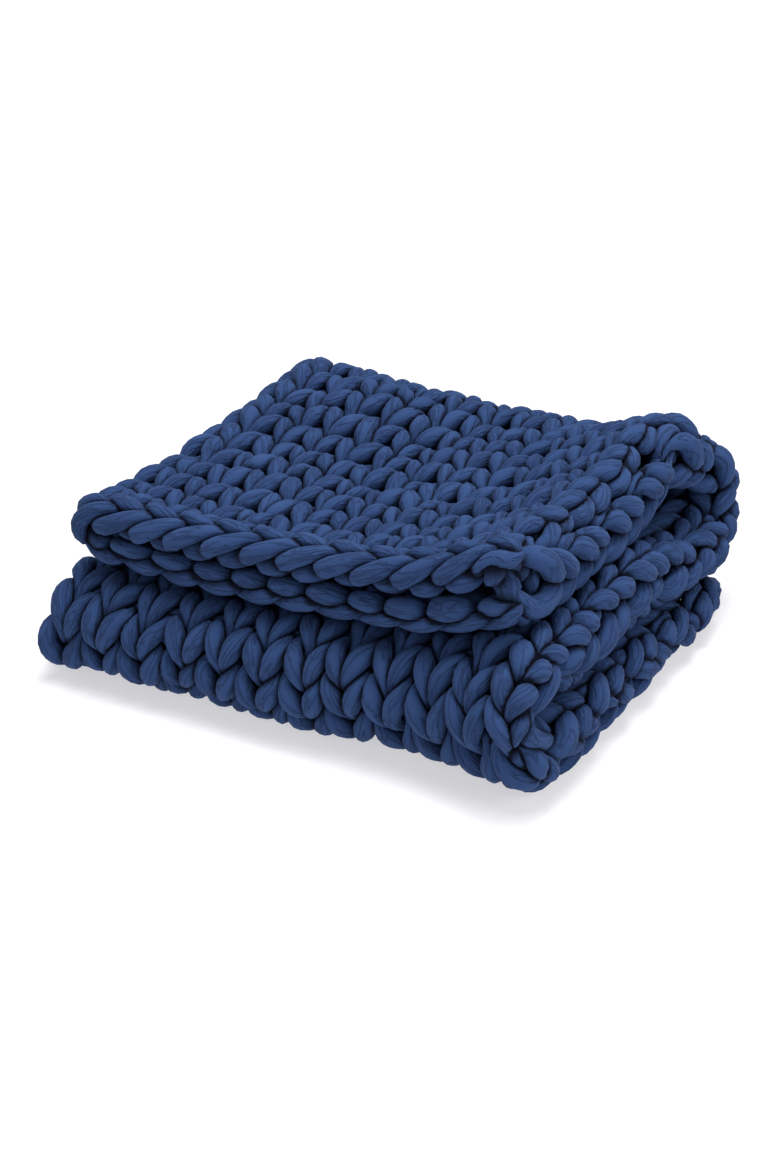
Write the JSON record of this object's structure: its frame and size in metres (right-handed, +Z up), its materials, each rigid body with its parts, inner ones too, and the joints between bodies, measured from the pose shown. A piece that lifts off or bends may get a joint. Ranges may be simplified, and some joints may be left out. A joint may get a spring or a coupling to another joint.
{
  "type": "folded weighted blanket",
  "caption": "Chunky hand-knitted weighted blanket, folded in half along its length and then in thirds, with the bound-off edge open at the top front.",
  "frame": {"origin": "middle of the folded blanket's footprint, on the surface it rests on", "axes": "+X across, from the lengthwise fold to the selvages; +Y from front to back; +Z up"},
  "size_m": [0.5984, 0.5681, 0.2732],
  "materials": {
    "cotton_yarn": "matt dusty-blue cotton jersey tube yarn, hand knitted in stocking stitch"
  },
  "bodies": {
    "root": {"knit_blanket": "cotton_yarn"}
  },
  "joints": []
}
